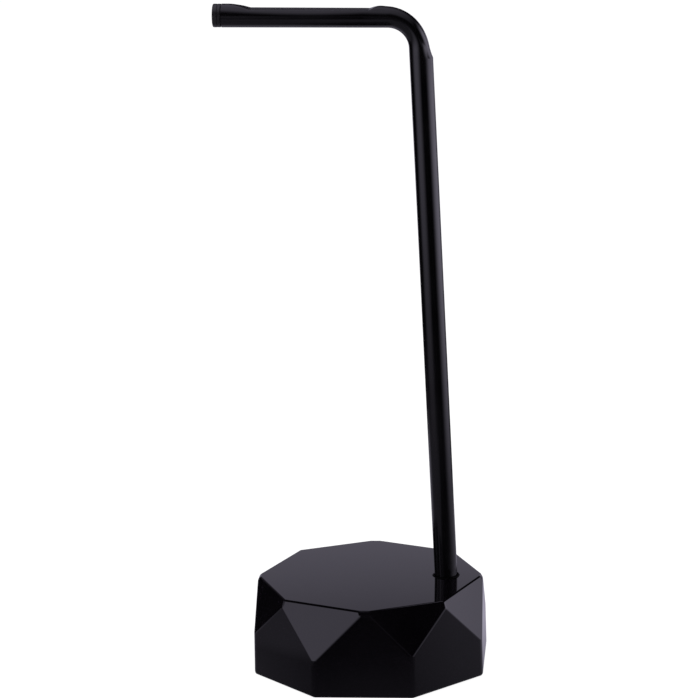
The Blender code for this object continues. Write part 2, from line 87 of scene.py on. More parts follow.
def placeBy(obj, matrix):
    obj.matrix_world = matrix
    applyPlace(obj)


def applyModifier(obj, kind, **settings):
    pick(obj)
    modifier = obj.modifiers.new(kind.lower(), kind)
    for key, value in settings.items():
        setattr(modifier, key, value)
    bpy.ops.object.modifier_apply(modifier=modifier.name)


def cutAway(obj, cutter):
    applyModifier(obj, "BOOLEAN", object=cutter, operation="DIFFERENCE", solver="EXACT")
    bpy.data.objects.remove(cutter, do_unlink=True)


def cutRound(obj, name, sides, radius, depth, place):
    deselectAll()
    bpy.ops.mesh.primitive_cylinder_add(vertices=sides, radius=radius, depth=depth, location=place)
    cutter = justAdded(name)
    applyPlace(cutter)
    cutAway(obj, cutter)


def outwardNormals(obj):
    editMode(obj)
    bpy.ops.mesh.select_all(action="SELECT")
    bpy.ops.mesh.remove_doubles(threshold=mergeGap)
    bpy.ops.mesh.normals_make_consistent(inside=False)
    objectMode()


def smoothBy(obj, degrees):
    pick(obj)
    bpy.ops.object.shade_smooth_by_angle(angle=math.radians(degrees))


def drawOn(step, count=1):
    for _ in range(count):
        bpy.ops.mesh.extrude_region_move(TRANSFORM_OT_translate={"value": step})


def spunProfile(name, points, steps):
    # half a section, drawn on point by point from a plane shrunk to one, then turned round its axis
    deselectAll()
    bpy.ops.mesh.primitive_plane_add(size=mm, location=(points[0][0], 0.0, points[0][1]))
    obj = justAdded(name)
    applyPlace(obj)
    editMode(obj)
    bpy.ops.mesh.select_all(action="SELECT")
    bpy.ops.mesh.merge(type="CENTER")
    for (radius, height), (nextRadius, nextHeight) in zip(points, points[1:]):
        drawOn((nextRadius - radius, 0.0, nextHeight - height))
    bpy.ops.mesh.select_all(action="SELECT")
    bpy.ops.mesh.spin(steps=steps, angle=2 * math.pi, center=(0.0, 0.0, 0.0), axis=(0.0, 0.0, 1.0))
    objectMode()
    outwardNormals(obj)
    return obj


def arcPoints(centre, radius, start, end, steps):
    angles = [math.radians(start + (end - start) * i / steps) for i in range(steps + 1)]
    return [(centre[0] + radius * math.cos(a), centre[1] + radius * math.sin(a)) for a in angles]


def standFor(piece, material, slot, *nodes):
    piece.data.materials.clear()
    piece.data.materials.append(material)
    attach(piece, "root")
    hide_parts(*nodes)
    print("piece:", piece.name, len(piece.data.polygons), "faces")


# small helpers for materials

def newMaterial(name):
    material = bpy.data.materials.new(name)
    material.use_nodes = True
    return material, material.node_tree, material.node_tree.nodes["Principled BSDF"]


def addNode(tree, kind, **settings):
    node = tree.nodes.new(kind)
    for key, value in settings.items():
        if key in node.inputs:
            node.inputs[key].default_value = value
        else:
            setattr(node, key, value)
    return node


def objectPlace(tree, scale=(1.0, 1.0, 1.0)):
    coordinate = addNode(tree, "ShaderNodeTexCoord")
    mapping = addNode(tree, "ShaderNodeMapping", Scale=scale)
    tree.links.new(coordinate.outputs["Object"], mapping.inputs["Vector"])
    return mapping.outputs["Vector"]


def noise(tree, place, scale, detail, roughness=0.5):
    node = addNode(tree, "ShaderNodeTexNoise", Scale=scale, Detail=detail, Roughness=roughness)
    tree.links.new(place, node.inputs["Vector"])
    return node.outputs["Fac"]


def ramp(tree, value, stops):
    node = addNode(tree, "ShaderNodeValToRGB")
    elements = node.color_ramp.elements
    while len(elements) < len(stops):
        elements.new(0.5)
    for element, (position, colour) in zip(elements, stops):
        element.position = position
        element.color = (*colour, 1.0)
    tree.links.new(value, node.inputs["Fac"])
    return node.outputs["Color"]


def spread(tree, value, low, high, fromLow=0.3, fromHigh=0.7):
    node = addNode(tree, "ShaderNodeMapRange")
    ends = {"From Min": fromLow, "From Max": fromHigh, "To Min": low, "To Max": high}
    for socket, number in ends.items():
        node.inputs[socket].default_value = number
    tree.links.new(value, node.inputs["Value"])
    return node.outputs["Result"]


def dress(tree, shader, colour, roughness, height, strength, distance):
    bump = addNode(tree, "ShaderNodeBump", Strength=strength, Distance=distance)
    tree.links.new(height, bump.inputs["Height"])
    tree.links.new(bump.outputs["Normal"], shader.inputs["Normal"])
    tree.links.new(colour, shader.inputs["Base Color"])
    tree.links.new(roughness, shader.inputs["Roughness"])


# finishes: a cloud of two tones that also varies the gloss, and a fine grain in the surface

plainFinish = {
    "cloudDetail": 5.0,
    "cloudRough": 0.5,
    "contrast": (0.3, 0.7),
    "grainDetail": 3.0,
    "grainRough": 0.5,
    "grainStretch": (1.0, 1.0, 1.0),
    "metallic": 0.0,
    "specular": 0.5,
}
lacquerLook = {
    "dark": (0.0011, 0.0008, 0.0014),
    "light": (0.0022, 0.0017, 0.0027),
    "contrast": (0.35, 0.65),
    "smooth": 0.035,
    "rough": 0.060,
    "cloudScale": 45.0,
    "grainScale": 420.0,
    "grainDetail": 2.0,
    "grain": 0.018,
    "grainDepth": 0.05 * mm,
}
paintLook = {
    "dark": (0.0010, 0.0008, 0.0012),
    "light": (0.0022, 0.0019, 0.0025),
    "smooth": 0.12,
    "rough": 0.18,
    "cloudScale": 60.0,
    "cloudDetail": 6.0,
    "grainScale": 1300.0,
    "grain": 0.05,
    "grainDepth": 0.05 * mm,
}
mouldedLook = {
    "cloudScale": 120.0,
    "grainRough": 0.6,
    "grainDepth": 0.08 * mm,
}
capLook = {
    **mouldedLook,
    "dark": (0.0045, 0.0040, 0.0048),
    "light": (0.0085, 0.0078, 0.0090),
    "smooth": 0.34,
    "rough": 0.46,
    "grainScale": 2200.0,
    "grain": 0.22,
}
bushLook = {
    **mouldedLook,
    "dark": (0.0010, 0.0009, 0.0011),
    "light": (0.0022, 0.0020, 0.0024),
    "smooth": 0.54,
    "rough": 0.66,
    "specular": 0.10,
    "grainScale": 1800.0,
    "grain": 0.20,
}
coverLook = {
    **mouldedLook,
    "dark": (0.011, 0.011, 0.012),
    "light": (0.021, 0.021, 0.022),
    "smooth": 0.44,
    "rough": 0.56,
    "grainScale": 1500.0,
    "grain": 0.30,
}
zincLook = {
    "metallic": 1.0,
    "dark": (0.44, 0.45, 0.47),
    "light": (0.68, 0.69, 0.70),
    "smooth": 0.22,
    "rough": 0.42,
    "cloudScale": 380.0,
    "cloudDetail": 6.0,
    "grainScale": 2600.0,
    "grainDetail": 2.0,
    "grainStretch": (0.05, 0.05, 1.0),   # rings, as from turning
    "grain": 0.12,
    "grainDepth": 0.03 * mm,
}
castingLook = {
    "metallic": 0.75,
    "dark": (0.05, 0.048, 0.046),
    "light": (0.13, 0.127, 0.124),
    "smooth": 0.5,
    "rough": 0.75,
    "cloudScale": 160.0,
    "cloudDetail": 8.0,
    "cloudRough": 0.65,
    "grainScale": 900.0,
    "grainDetail": 6.0,
    "grainRough": 0.7,
    "grain": 0.45,
    "grainDepth": 0.2 * mm,
}


def makeFinish(name, ownLook):
    look = {**plainFinish, **ownLook}
    material, tree, shader = newMaterial(name)
    shader.inputs["Metallic"].default_value = look["metallic"]
    shader.inputs["Specular IOR Level"].default_value = look["specular"]
    cloud = noise(tree, objectPlace(tree), look["cloudScale"], look["cloudDetail"], look["cloudRough"])
    darkAt, lightAt = look["contrast"]
    colour = ramp(tree, cloud, [(darkAt, look["dark"]), (lightAt, look["light"])])
    roughness = spread(tree, cloud, look["smooth"], look["rough"])
    grainPlace = objectPlace(tree, look["grainStretch"])
    grain = noise(tree, grainPlace, look["grainScale"], look["grainDetail"], look["grainRough"])
    dress(tree, shader, colour, roughness, grain, look["grain"], look["grainDepth"])
    return material


padLook = {
    "dark": (0.012, 0.012, 0.013),
    "light": (0.034, 0.034, 0.035),
    "contrast": (0.05, 0.45),
    "smooth": 0.74,
    "rough": 0.92,
    "cell": 900.0,
    "cloudScale": 90.0,
    "cloudDetail": 6.0,
    "grain": 0.55,
    "grainDepth": 0.15 * mm,
}


def foamRubber():
    material, tree, shader = newMaterial("foam_rubber")
    place = objectPlace(tree)
    cells = addNode(tree, "ShaderNodeTexVoronoi", Scale=padLook["cell"])
    tree.links.new(place, cells.inputs["Vector"])
    cloud = noise(tree, place, padLook["cloudScale"], padLook["cloudDetail"])
    clouded = addNode(tree, "ShaderNodeMath", operation="MULTIPLY")
    tree.links.new(cells.outputs["Distance"], clouded.inputs[0])
    tree.links.new(cloud, clouded.inputs[1])
    darkAt, lightAt = padLook["contrast"]
    colour = ramp(tree, clouded.outputs["Value"], [(darkAt, padLook["dark"]), (lightAt, padLook["light"])])
    roughness = spread(tree, cloud, padLook["smooth"], padLook["rough"])
    dress(tree, shader, colour, roughness, cells.outputs["Distance"], padLook["grain"], padLook["grainDepth"])
    return material


lacquer = makeFinish("gloss_black_lacquer", lacquerLook)
paint = makeFinish("satin_black_paint", paintLook)
capPlastic = makeFinish("cap_plastic", capLook)
bushPlastic = makeFinish("bush_plastic", bushLook)
coverPlastic = makeFinish("cover_plastic", coverLook)
zinc = makeFinish("zinc_plate", zincLook)
casting = makeFinish("raw_casting", castingLook)
rubber = foamRubber()
print("materials made")


# base shell: an octagonal block with its upper corners cut away, deep and shallow in turn

shellLow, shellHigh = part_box("base_shell")
rimZ = shellLow.z
topZ = shellHigh.z
shell = {
    "sides": 8,
    "apothem": shellHigh.x,
    "draft": math.radians(0.7),
    "stretch": 1.033,
    "meetAside": 1.2 * mm,
    "deep": {"drop": 23.0 * mm, "swing": math.radians(-0.5)},
    "shallow": {"drop": 20.8 * mm, "swing": math.radians(1.8)},
    "mergeGap": 0.05 * mm,
    "wall": 3.0 * mm,
    "openBelow": 5.0 * mm,
    "tipFlat": 2.5 * mm,
    "tipBelow": 1.0 * mm,
    "tipAside": 5.0 * mm,
    "topRound": 0.7 * mm,
    "facetRound": 0.6 * mm,
    "cornerRound": 1.6 * mm,
    "rimRound": 1.2 * mm,
    "roundSteps": 7,
    "near": 5.0 * mm,   # an edge this close to the top, the rim or upright counts as such
    "poleEdgeDistance": 16.6 * mm,
    "holeRadius": 6.0 * mm,
    "holeDepth": 30.0 * mm,
    "holeSides": 64,
    "smoothAngle": 40,
    "flatWeight": 80,
}
halfSide = math.pi / shell["sides"]
poleX = shell["apothem"] - shell["poleEdgeDistance"]


def sideApothem(z, inset=0.0):
    return shell["apothem"] - (z - rimZ) * math.tan(shell["draft"]) - inset / math.cos(shell["draft"])


def stretchCorner(point):
    # the four sides that face along x and y are a little longer than the diagonal ones
    if abs(point.x) > abs(point.y):
        point.y *= shell["stretch"]
    else:
        point.x *= shell["stretch"]
    return point


def octagonBlock(name, zLow, zHigh, apothemLow, apothemHigh):
    deselectAll()
    bpy.ops.mesh.primitive_cone_add(
        vertices=shell["sides"],
        radius1=apothemLow / math.cos(halfSide),
        radius2=apothemHigh / math.cos(halfSide),
        depth=zHigh - zLow,
        location=(0.0, 0.0, (zLow + zHigh) / 2),
        rotation=(0.0, 0.0, halfSide),
    )
    block = justAdded(name)
    applyPlace(block)
    return block


def facetPlane(corner):
    # through its tip on the upright corner, and the top point that it shares with the next facet
    turn = (2 * corner + 1) * halfSide
    cut = shell["deep"] if corner % 2 else shell["shallow"]
    tipZ = topZ - cut["drop"]
    tipRadius = sideApothem(tipZ) / math.cos(halfSide)
    tip = stretchCorner(Vector((tipRadius * math.cos(turn), tipRadius * math.sin(turn), tipZ)))
    quarter = Matrix.Rotation(round(turn / (math.pi / 2)) * math.pi / 2, 3, "Z")
    rise = quarter @ Vector((sideApothem(topZ), shell["meetAside"], topZ)) - tip
    level = Vector((math.cos(turn + cut["swing"]), math.sin(turn + cut["swing"]), 0.0))
    normal = (level * rise.z - Vector((0.0, 0.0, level.dot(rise)))).normalized()
    return tip, normal


def facetedBlock(name, inset, zLow, zHigh):
    block = octagonBlock(name, zLow, zHigh, sideApothem(zLow, inset), sideApothem(zHigh, inset))
    for vertex in block.data.vertices:
        stretchCorner(vertex.co)
    editMode(block)
    for corner in range(shell["sides"]):
        tip, normal = facetPlane(corner)
        bpy.ops.mesh.select_all(action="SELECT")
        bpy.ops.mesh.bisect(plane_co=tip - normal * inset, plane_no=normal, use_fill=True, clear_outer=True)
    bpy.ops.mesh.select_all(action="SELECT")
    bpy.ops.mesh.remove_doubles(threshold=shell["mergeGap"])
    objectMode()
    outwardNormals(block)
    return block


def bluntTips(block):
    # a small flat on the top corners where four faces meet
    editMode(block)
    objectMode()
    for vertex in block.data.vertices:
        x, y, z = vertex.co
        vertex.select = z > topZ - shell["tipBelow"] and min(abs(x), abs(y)) < shell["tipAside"]
    bpy.ops.object.mode_set(mode="EDIT")
    bpy.ops.mesh.bevel(offset=shell["tipFlat"], segments=1, affect="VERTICES")
    objectMode()


def edgeRound(ends):
    low, high = sorted(ends, key=lambda point: point.z)
    if low.z > topZ - shell["near"]:
        return shell["topRound"]
    if high.z < rimZ + shell["near"]:
        return shell["rimRound"]
    upright = math.hypot(high.x - low.x, high.y - low.y) < shell["near"]
    return shell["cornerRound"] if upright else shell["facetRound"]


def roundEdges(block):
    mesh = block.data
    rounds = [edgeRound([mesh.vertices[i].co for i in edge.vertices]) for edge in mesh.edges]
    largest = max(rounds)
    weights = mesh.attributes.new("bevel_weight_edge", "FLOAT", "EDGE")
    for index, size in enumerate(rounds):
        weights.data[index].value = size / largest
    applyModifier(block, "BEVEL", limit_method="WEIGHT", width=largest, segments=shell["roundSteps"])


def makeShell():
    body = facetedBlock("baseShell", 0.0, rimZ, topZ)
    bluntTips(body)
    roundEdges(body)
    cutAway(body, facetedBlock("shellHollow", shell["wall"], rimZ - shell["openBelow"], topZ - shell["wall"]))
    cutRound(body, "poleHole", shell["holeSides"], shell["holeRadius"], shell["holeDepth"], (poleX, 0.0, topZ))
    smoothBy(body, shell["smoothAngle"])
    applyModifier(body, "WEIGHTED_NORMAL", keep_sharp=True, weight=shell["flatWeight"])
    standFor(body, lacquer, "gloss_black", "base_shell")


makeShell()


# pole: a circle drawn up the post, spun round the bend and drawn along the arm, then pressed to shape

pole = {
    "radius": 5.0 * mm,
    "wall": 1.0 * mm,
    "lean": math.radians(1.76),
    "postLength": 233.4 * mm,
    "bendRadius": 13.9 * mm,
    "armRise": math.radians(0.74),
    "armLength": 70.0 * mm,
    "saddleDepth": 2.0 * mm,
    "saddleStart": 2.0 * mm,
    "saddleLeadIn": 9.7 * mm,
    "saddleFlat": 50.7 * mm,
    "saddleTilt": math.radians(0.23),
    "saddleRunOut": 9.0 * mm,
    "saddleEase": 1.8,
    "saddleEdge": 0.5 * mm,
    "collapse": 1.8 * mm,
    "collapseLag": 3.5 * mm,
    "collapseArmReach": 24.0 * mm,
    "collapseArmEase": 1.56,
    "collapsePostReach": 11.6 * mm,
    "collapsePostEase": 2.5,
    "spread": 0.06,
    "around": 72,
    "bendSteps": 56,
    "rampSteps": 16,
    "armSteps": 118,
    "smoothAngle": 50,
}
bendAngle = math.pi / 2 - pole["lean"] - pole["armRise"]
bendLength = pole["bendRadius"] * bendAngle
bendCentre = Vector((-pole["bendRadius"], 0.0, pole["postLength"]))
armUp = Vector((math.cos(bendAngle), 0.0, math.sin(bendAngle)))
armWay = Vector((-math.sin(bendAngle), 0.0, math.cos(bendAngle)))
armRoot = bendCentre + armUp * pole["bendRadius"]

# the leaning axis, with its foot on the base's top
axisPlace = Matrix.Translation((poleX, 0.0, topZ)) @ Matrix.Rotation(-pole["lean"], 4, "Y")


def alongAxis(z):
    return (z - topZ) / math.cos(pole["lean"])


def saddleDrop(fromEnd):
    flatStart = pole["saddleStart"] + pole["saddleLeadIn"]
    flatEnd = flatStart + pole["saddleFlat"]
    if fromEnd <= pole["saddleStart"] or fromEnd >= flatEnd + pole["saddleRunOut"]:
        return 0.0
    if fromEnd < flatStart:
        share = (fromEnd - pole["saddleStart"]) / pole["saddleLeadIn"]
        return pole["saddleDepth"] * share ** pole["saddleEase"]
    drop = pole["saddleDepth"] + (min(fromEnd, flatEnd) - flatStart) * math.tan(pole["saddleTilt"])
    if fromEnd <= flatEnd:
        return drop
    return drop * (1 - (fromEnd - flatEnd) / pole["saddleRunOut"]) ** pole["saddleEase"]


def bendDrop(fromMiddle):
    fromDeepest = fromMiddle + pole["collapseLag"]
    if fromDeepest > 0:
        share = (fromDeepest / pole["collapseArmReach"]) ** pole["collapseArmEase"]
    else:
        share = (-fromDeepest / pole["collapsePostReach"]) ** pole["collapsePostEase"]
    return pole["collapse"] * max(1 - share, 0.0)


def softLimit(value, limit, blend):
    # like min(), with a rounded edge
    gap = max(blend - abs(value - limit), 0.0) / blend
    return min(value, limit) - gap * gap * blend / 4


def poleStation(point):
    # centre, outward way and distance past the arm's root, for a point of the plain round tube
    if point.z <= pole["postLength"] and point.x > -pole["bendRadius"]:
        return Vector((0.0, 0.0, point.z)), Vector((1.0, 0.0, 0.0)), point.z - pole["postLength"] - bendLength
    turn = math.atan2(point.z - bendCentre.z, point.x - bendCentre.x)
    if turn <= bendAngle:
        outward = Vector((math.cos(turn), 0.0, math.sin(turn)))
        return bendCentre + outward * pole["bendRadius"], outward, pole["bendRadius"] * turn - bendLength
    run = (point - armRoot).dot(armWay)
    return armRoot + armWay * run, armUp, run


def pressPole(tube):
    radius = pole["radius"]
    for vertex in tube.data.vertices:
        centre, outward, past = poleStation(vertex.co)
        rise = (vertex.co - centre).dot(outward)
        drop = bendDrop(bendLength / 2 + past)
        pressed = saddleDrop(pole["armLength"] - past)
        if rise > 0.0:
            rise -= drop * rise / radius
        if pressed > 0.0:
            rise = softLimit(rise, radius - pressed, min(pole["saddleEdge"], pressed))
        side = vertex.co.y * (1 + pole["spread"] * drop / pole["collapse"])
        vertex.co = centre + outward * rise + Vector((0.0, side, 0.0))


def makePole():
    bottom = alongAxis(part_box("pole")[0].z)
    deselectAll()
    bpy.ops.mesh.primitive_circle_add(
        vertices=pole["around"], radius=pole["radius"], location=(0.0, 0.0, bottom),
    )
    tube = justAdded("poleTube")
    applyPlace(tube)
    editMode(tube)
    bpy.ops.mesh.select_all(action="SELECT")
    rampLength = pole["collapsePostReach"] + pole["collapseLag"] - bendLength / 2
    drawOn((0.0, 0.0, pole["postLength"] - rampLength - bottom))
    drawOn((0.0, 0.0, rampLength / pole["rampSteps"]), pole["rampSteps"])
    bpy.ops.mesh.spin(steps=pole["bendSteps"], angle=bendAngle, center=bendCentre, axis=(0.0, 1.0, 0.0))
    drawOn(armWay * pole["armLength"] / pole["armSteps"], pole["armSteps"])
    objectMode()
    outwardNormals(tube)
    pressPole(tube)
    applyModifier(tube, "SOLIDIFY", thickness=pole["wall"], offset=-1.0, use_even_offset=True)
    placeBy(tube, axisPlace)
    smoothBy(tube, pole["smoothAngle"])
    standFor(tube, paint, "black_paint", "pole")


makePole()


# end cap: a shallow dome with a ridge beside the tube, and its shank

cap = {
    "head": 4.1 * mm,
    "radius": 4.95 * mm,
    "dome": 0.35 * mm,
    "domeSteps": 6,
    "edge": 0.5 * mm,
    "edgeSteps": 8,
    "gap": 0.3 * mm,
    "ridge": 0.7 * mm,
    "groove": 0.2 * mm,
    "grooveFloor": 0.06 * mm,
    "shank": 3.75 * mm,
    "shankLength": 3.4 * mm,
    "steps": 96,
    "smoothAngle": 35,
}


def makeEndCap():
    shoulder = cap["radius"] - cap["edge"]
    edgeZ = cap["head"] - cap["dome"] - cap["edge"]
    ridgeTop = cap["gap"] + 2 * cap["ridge"]
    inner = cap["radius"] - cap["groove"]
    shankEnd = cap["gap"] - cap["shankLength"]
    points = []
    for step in range(cap["domeSteps"]):
        share = step / cap["domeSteps"]
        points.append((shoulder * share, cap["head"] - cap["dome"] * share ** 2))
    points += arcPoints((shoulder, edgeZ), cap["edge"], 90, 0, cap["edgeSteps"])
    points += [
        (cap["radius"], ridgeTop + cap["groove"]),
        (inner, ridgeTop + cap["grooveFloor"]),
        (inner, ridgeTop - cap["grooveFloor"]),
        (cap["radius"], ridgeTop - cap["groove"]),
        (cap["radius"], cap["gap"] + cap["groove"]),
        (inner, cap["gap"]),
        (cap["shank"], cap["gap"]),
        (cap["shank"], shankEnd),
        (0.0, shankEnd),
    ]
    plug = spunProfile("armEndCap", points, cap["steps"])
    tubeEnd = Matrix.Translation(armRoot + armWay * pole["armLength"]) @ Matrix.Rotation(-bendAngle, 4, "Y")
    placeBy(plug, axisPlace @ tubeEnd)
    smoothBy(plug, cap["smoothAngle"])
    standFor(plug, capPlastic, "cap_black", "arm_end_cap")


makeEndCap()


# bush: the thin lip round the foot of the tube

bush = {
    "inner": 5.25 * mm,
    "outer": 5.75 * mm,
    "proud": 0.4 * mm,
    "rollSteps": 8,
    "flange": 7.95 * mm,
    "flangeTop": 3.3 * mm,
    "flangeLow": 4.7 * mm,
    "steps": 96,
    "smoothAngle": 35,
}


def makeBush():
    roll = (bush["outer"] - bush["inner"]) / 2
    points = arcPoints((bush["inner"] + roll, bush["proud"] - roll), roll, 180, 0, bush["rollSteps"])
    points += [
        (bush["outer"], -bush["flangeTop"]),
        (bush["flange"], -bush["flangeTop"]),
        (bush["flange"], -bush["flangeLow"]),
        (bush["inner"], -bush["flangeLow"]),
    ]
    ring = spunProfile("poleBush", points + points[:1], bush["steps"])
    placeBy(ring, axisPlace)
    smoothBy(ring, bush["smoothAngle"])
    standFor(ring, bushPlastic, "bush_black", "pole_bush")


makeBush()


# pad under the base, with a hole that gives access to the bolt

pad = {
    "holeRadius": 6.5 * mm,
    "holeDepth": 20.0 * mm,
    "holeSides": 64,
    "edge": 0.5 * mm,
    "edgeSteps": 4,
    "edgeAngle": math.radians(40),
    "smoothAngle": 35,
}


def makePad():
    low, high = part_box("non_slip_pad")
    boltLow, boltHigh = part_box("pole_bolt")
    holePlace = ((boltLow.x + boltHigh.x) / 2, 0.0, 0.0)
    sheet = octagonBlock("nonSlipPad", low.z, high.z, high.x, high.x)
    cutRound(sheet, "padHole", pad["holeSides"], pad["holeRadius"], pad["holeDepth"], holePlace)
    applyModifier(
        sheet, "BEVEL",
        limit_method="ANGLE", angle_limit=pad["edgeAngle"], width=pad["edge"], segments=pad["edgeSteps"],
    )
    smoothBy(sheet, pad["smoothAngle"])
    standFor(sheet, rubber, "pad_rubber", "non_slip_pad")


makePad()


# bolt: domed head with a hexagon socket, seen through the pad's hole

bolt = {
    "head": 4.75 * mm,
    "headHeight": 2.7 * mm,
    "dome": 2.0 * mm,
    "domeSteps": 8,
    "shank": 2.5 * mm,
    "length": 14.0 * mm,
    "tipShare": 0.8,
    "tipLength": 0.5 * mm,
    "keyFlats": 3.0 * mm,
    "keyDepth": 1.6 * mm,
    "steps": 72,
    "smoothAngle": 30,
}


def makeBolt():
    points = [
        (0.0, bolt["length"]),
        (bolt["shank"] * bolt["tipShare"], bolt["length"]),
        (bolt["shank"], bolt["length"] - bolt["tipLength"]),
        (bolt["shank"], 0.0),
        (bolt["head"], 0.0),
    ]
    for step in range(1, bolt["domeSteps"] + 1):
        turn = math.pi / 2 * step / bolt["domeSteps"]
        flat = bolt["head"] - bolt["dome"]
        points.append((flat + bolt["dome"] * math.cos(turn), -bolt["headHeight"] * math.sin(turn)))
    points.append((0.0, -bolt["headHeight"]))
    screw = spunProfile("poleBolt", points, bolt["steps"])
    keyRadius = bolt["keyFlats"] / 2 / math.cos(math.pi / 6)
    cutRound(screw, "keySocket", 6, keyRadius, 2 * bolt["keyDepth"], (0.0, 0.0, -bolt["headHeight"]))
    seat = alongAxis(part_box("ballast_weight")[0].z)
    placeBy(screw, axisPlace @ Matrix.Translation((0.0, 0.0, seat)))
    smoothBy(screw, bolt["smoothAngle"])
    standFor(screw, zinc, "zinc_steel", "pole_bolt")


makeBolt()


# CAD nodes that stay, with their finish

keptFinish = {
    "ballast_weight": casting,
    "base_cover": coverPlastic,
    "cover_screw_1": zinc,
    "cover_screw_2": zinc,
    "cover_screw_3": zinc,
    "cover_screw_4": zinc,
    "pole_insert": zinc,
    "flat_washer": zinc,
    "spring_washer": zinc,
}
for nodeName, finish in keptFinish.items():
    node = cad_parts[nodeName]
    node.data.materials.clear()
    node.data.materials.append(finish)
print("kept nodes dressed:", len(keptFinish))


# stage: white floor that keeps a soft shadow, and glowing sheets that only the gloss sees, with painted
# reflections of soft boxes, painted shade and painted highlights

stage = {
    "floorSize": 12.0,
    "floorDrop": 0.05 * mm,
    "floorGlow": 0.965,
    "floorColour": (0.18, 0.18, 0.18, 1.0),   # to the camera, on top of the glow
    "floorPlain": (0.8, 0.8, 0.8, 1.0),       # to the light that bounces
    "tentRadius": 0.9,
    "tentSegments": 96,
    "tentRings": 48,
    "tableRadius": 0.32,
    "tableSides": 64,
    "tableLift": 0.4 * mm,
}
paintedSoftBoxes = {
    # painted reflections of soft boxes, on a tent that only the gloss sees; in degrees, azimuth 90 is the
    # back: azimuth, its half width and edge, the elevations between which the box rises from nothing to full
    # and falls again, and its strength
    "left": (-139.0, 28.0, 20.0, (-18.0, 6.0, 18.2, 21.2), 1.02),
    "right": (5.0, 31.0, 25.0, (-18.0, 14.0, 18.5, 21.5), 1.85),
    "leftFacet": (-141.5, 6.0, 2.5, (15.0, 17.0, 23.5, 25.5), 1.02),
    "leftSide": (180.0, 14.0, 5.0, (10.0, 14.0, 22.5, 24.5), 0.40),
    "rightBack": (54.0, 12.0, 4.0, (10.0, 14.0, 22.5, 24.5), 0.42),
    "front": (-90.0, 14.0, 5.0, (16.0, 18.0, 22.5, 24.0), 0.06),
    "frontLeft": (-115.0, 10.0, 4.0, (14.0, 17.0, 22.5, 24.0), 0.30),
    "frontRight": (-54.0, 18.0, 5.0, (12.0, 14.0, 16.5, 19.0), 0.25),
    "back": (95.0, 34.0, 7.0, (-10.0, 4.0, 16.5, 30.0), 0.46),
    "paintedFarFloor": (0.0, 200.0, 10.0, (-80.0, -60.0, -18.0, -6.0), 0.20),
}
# dim painted reflection of a dark room round the painted soft boxes
paintedRoomReflection = 0.006
# tint of every painted reflection and painted highlight
paintedReflectionTint = (1.0, 0.94, 1.18, 1.0)
paintedTableShade = {
    # painted floor shade and light that only the gloss sees: metres from front to back of the table, with its
    # painted tone there, darkest before the base as a painted shadow, and a painted lighter part at the left
    "tones": [(-0.29, 0.05), (-0.17, 0.012), (-0.112, 0.030), (-0.055, 0.09), (-0.016, 0.21), (0.07, 0.42)],
    "lean": 0.25,
    "left": {"lean": 0.3, "from": -0.055, "to": -0.105, "tone": 0.17},
}
paintedArmHighlight = {
    # a glowing curved sheet close over the arm, seen only by the gloss, for a painted highlight: edges in
    # degrees round the arm, ends along x
    "radius": 48.0 * mm,
    "height": 287.0 * mm,
    "ends": (-120.0 * mm, 90.0 * mm),
    "fadeFrom": -20.0 * mm,
    "frontEdge": (2.0, 42.0),
    "bowMiddle": -24.0 * mm,
    "bow": 20000.0,   # degrees per square metre from the middle
    "bowMost": 28.0,
    "backEdge": (105.0, 155.0),
    "strength": 0.76,
    "sides": 64,
}
# a glowing card that only the gloss sees, for the painted highlight on the bend
paintedBendHighlight = {
    "place": (91.2 * mm, 27.4 * mm, 286.9 * mm),
    "facing": (37.2 * mm, 5.4 * mm, 269.9 * mm),
    "size": (90.0 * mm, 84.0 * mm),
    "strength": 1.35,
    "fade": 0.42,
}


def bareMaterial(name):
    material, tree, shader = newMaterial(name)
    tree.nodes.remove(shader)
    return material, tree


def feed(tree, value, socket):
    # a plain number, or another node's output
    if isinstance(value, (int, float)):
        socket.default_value = value
    else:
        tree.links.new(value, socket)


def calc(tree, operation, a, b=0.0):
    node = addNode(tree, "ShaderNodeMath", operation=operation)
    feed(tree, a, node.inputs[0])
    feed(tree, b, node.inputs[1])
    return node.outputs["Value"]


def smoothStep(tree, value, none, full):
    fade = addNode(tree, "ShaderNodeMapRange", interpolation_type="SMOOTHSTEP")
    fade.inputs["From Min"].default_value = none
    fade.inputs["From Max"].default_value = full
    tree.links.new(value, fade.inputs["Value"])
    return fade.outputs["Result"]


def placeAxes(tree):
    axes = addNode(tree, "ShaderNodeSeparateXYZ")
    tree.links.new(objectPlace(tree), axes.inputs[0])
    return axes.outputs


def mixed(tree, share, first, second):
    mix = addNode(tree, "ShaderNodeMixShader")
    tree.links.new(share, mix.inputs["Fac"])
    tree.links.new(first.outputs[0], mix.inputs[1])
    tree.links.new(second.outputs[0], mix.inputs[2])
    return mix


def show(tree, shader, output="Material Output"):
    tree.links.new(shader.outputs[0], tree.nodes[output].inputs["Surface"])


def shownToLens(tree):
    # camera, glossy and transmission rays together
    path = addNode(tree, "ShaderNodeLightPath").outputs
    lensOrGloss = calc(tree, "MAXIMUM", path["Is Camera Ray"], path["Is Glossy Ray"])
    return calc(tree, "MAXIMUM", lensOrGloss, path["Is Transmission Ray"])


# the glow of a painted reflection, in its tint
def paintedReflectionGlow(tree, strength):
    glow = addNode(tree, "ShaderNodeEmission", Color=paintedReflectionTint)
    feed(tree, strength, glow.inputs["Strength"])
    return glow


def fadedGlow(tree, inside, strength):
    # glows inside, and is clear round it
    return mixed(tree, inside, addNode(tree, "ShaderNodeBsdfTransparent"), paintedReflectionGlow(tree, strength))


